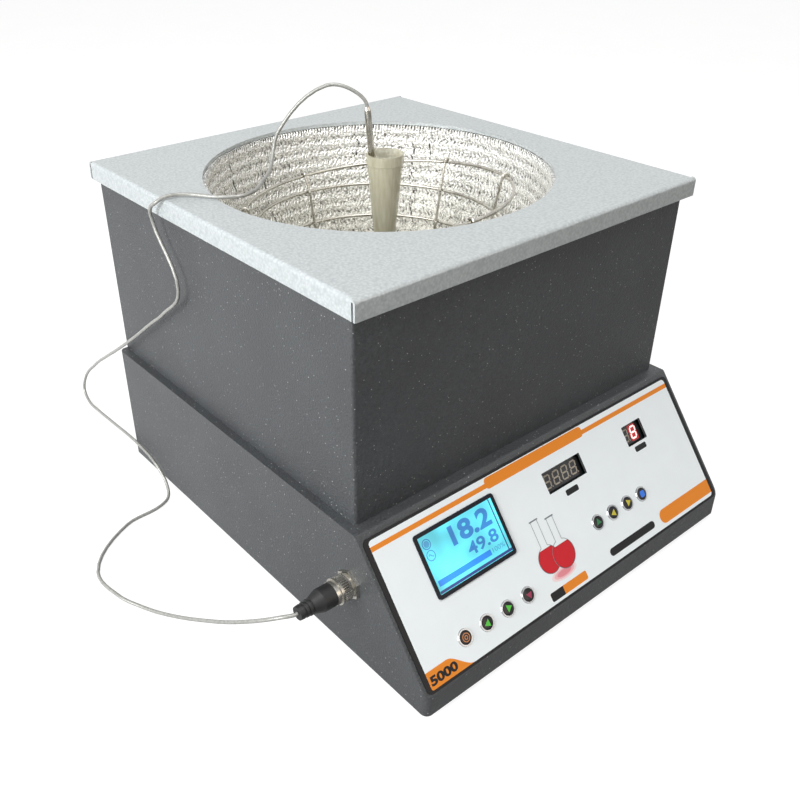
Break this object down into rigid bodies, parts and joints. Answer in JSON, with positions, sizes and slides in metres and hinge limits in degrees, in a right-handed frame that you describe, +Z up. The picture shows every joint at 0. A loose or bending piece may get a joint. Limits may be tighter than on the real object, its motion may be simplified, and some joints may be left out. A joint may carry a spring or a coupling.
{
  "type": "heating mantle",
  "caption": "Square bench heating mantle with a knitted heating bowl, flask cage, magnetic stirrer, sloped display panel and a temperature probe on a plug-in lead.",
  "frame": {"origin": "centre of the outline seen from above, without the sensor lead and its plug and socket, at the level the feet stand on", "axes": "+X to the right as seen facing the panel, +Y to the back, +Z up"},
  "size_m": [0.5092, 0.6204, 0.3975],
  "materials": {
    "dark_powder_coat": "fine textured powder coat, dark grey",
    "silver_hammer_paint": "silver hammer-finish paint",
    "zinc_sheet": "zinc-plated sheet",
    "zinc_fasteners": "zinc-plated",
    "black_rubber": "matt black",
    "pressed_aluminium": "mill finish",
    "resistance_wire": "oxidised wire",
    "glass_fibre_knit": "knitted glass-fibre yarn, silvery",
    "mineral_wool": "pressed mineral wool",
    "stainless_wire": "drawn stainless wire",
    "frosted_plastic": "frosted, translucent beige",
    "lead_jacket": "satin grey jacket",
    "nickel_plate": "satin nickel plate",
    "panel_film": "printed film, satin",
    "display_bezel": "gloss black",
    "display_glass": "lit cyan screen",
    "digit_block": "smoked window",
    "circuit_board": "green solder mask",
    "black_plastic": "moulded",
    "chrome_rings": "grey chrome",
    "black_keys": "polished, printed",
    "motor_case": "drawn steel can",
    "turned_steel": "ground shaft",
    "turned_aluminium": "turned",
    "magnet_plate": "nickel-plated magnet",
    "transformer_iron": "varnished laminations and winding",
    "relay_case": "moulded",
    "red_rocker": "moulded"
  },
  "bodies": {
    "root": {"base_housing": "dark_powder_coat", "base_plate": "zinc_sheet", "plate_screws": "zinc_fasteners", "rubber_feet": "black_rubber", "foot_screws": "zinc_fasteners", "foot_nuts": "zinc_fasteners", "upper_casing": "dark_powder_coat", "casing_screws": "zinc_fasteners", "casing_nuts": "zinc_fasteners", "top_plate": "silver_hammer_paint", "lid_nuts": "zinc_fasteners", "carrier_plate": "zinc_sheet", "bowl_shell": "pressed_aluminium", "heating_element": "resistance_wire", "heating_fabric": "glass_fibre_knit", "insulation": "mineral_wool", "heat_shield": "pressed_aluminium", "cage_rings": "stainless_wire", "cage_uprights": "stainless_wire", "probe_sleeve": "frosted_plastic", "temperature_probe": "stainless_wire", "sensor_lead": "lead_jacket", "plug_boot": "black_rubber", "plug_body": "nickel_plate", "socket_nut": "nickel_plate", "sensor_socket": "nickel_plate", "control_panel": "panel_film", "lcd_frame": "display_bezel", "lcd_screen": "display_glass", "digit_display_4": "digit_block", "digit_display_2": "digit_block", "display_board": "circuit_board", "board_spacers": "zinc_fasteners", "key_switches": "black_plastic", "key_rings": "chrome_rings", "stirrer_motor": "motor_case", "motor_plate": "zinc_sheet", "motor_spacers": "zinc_fasteners", "power_board": "circuit_board", "power_spacers": "zinc_fasteners", "transformer": "transformer_iron", "heat_sink": "pressed_aluminium", "relay": "relay_case", "mains_inlet": "black_plastic", "inlet_screws": "zinc_fasteners", "switch_frame": "black_plastic"},
    "key_set": {"key_set": "black_keys"},
    "key_up": {"key_up": "black_keys"},
    "key_down": {"key_down": "black_keys"},
    "key_enter": {"key_enter": "black_keys"},
    "key_start": {"key_start": "black_keys"},
    "key_raise": {"key_raise": "black_keys"},
    "key_lower": {"key_lower": "black_keys"},
    "key_menu": {"key_menu": "black_keys"},
    "rocker": {"rocker": "red_rocker"},
    "coupling_ring": {"coupling_ring": "nickel_plate"},
    "rotor": {"motor_shaft": "turned_steel", "magnet_carrier": "turned_aluminium", "stirrer_magnets": "magnet_plate"}
  },
  "joints": [
    {"name": "key_set_press", "type": "slide", "parent": "root", "child": "key_set", "axis": [0, 0.7845, -0.6201], "range_m": [0, 0.0005], "stiffness_N_per_m": 3000},
    {"name": "key_up_press", "type": "slide", "parent": "root", "child": "key_up", "axis": [0, 0.7845, -0.6201], "range_m": [0, 0.0005], "stiffness_N_per_m": 3000},
    {"name": "key_down_press", "type": "slide", "parent": "root", "child": "key_down", "axis": [0, 0.7845, -0.6201], "range_m": [0, 0.0005], "stiffness_N_per_m": 3000},
    {"name": "key_enter_press", "type": "slide", "parent": "root", "child": "key_enter", "axis": [0, 0.7845, -0.6201], "range_m": [0, 0.0005], "stiffness_N_per_m": 3000},
    {"name": "key_start_press", "type": "slide", "parent": "root", "child": "key_start", "axis": [0, 0.7845, -0.6201], "range_m": [0, 0.0005], "stiffness_N_per_m": 3000},
    {"name": "key_raise_press", "type": "slide", "parent": "root", "child": "key_raise", "axis": [0, 0.7845, -0.6201], "range_m": [0, 0.0005], "stiffness_N_per_m": 3000},
    {"name": "key_lower_press", "type": "slide", "parent": "root", "child": "key_lower", "axis": [0, 0.7845, -0.6201], "range_m": [0, 0.0005], "stiffness_N_per_m": 3000},
    {"name": "key_menu_press", "type": "slide", "parent": "root", "child": "key_menu", "axis": [0, 0.7845, -0.6201], "range_m": [0, 0.0005], "stiffness_N_per_m": 3000},
    {"name": "rocker_tip", "type": "hinge", "parent": "root", "child": "rocker", "pos_m": [0.06, 0.2255, 0.053], "axis": [1, 0, 0], "range_deg": [0, 18]},
    {"name": "coupling_turn", "type": "hinge", "parent": "root", "child": "coupling_ring", "pos_m": [-0.204, -0.1465, 0.082], "axis": [-1, 0, 0], "range_deg": [0, 540]},
    {"name": "stirrer_spin", "type": "hinge", "parent": "root", "child": "rotor", "pos_m": [0, 0.0485, 0.14], "axis": [0, 0, 1], "continuous": true}
  ]
}
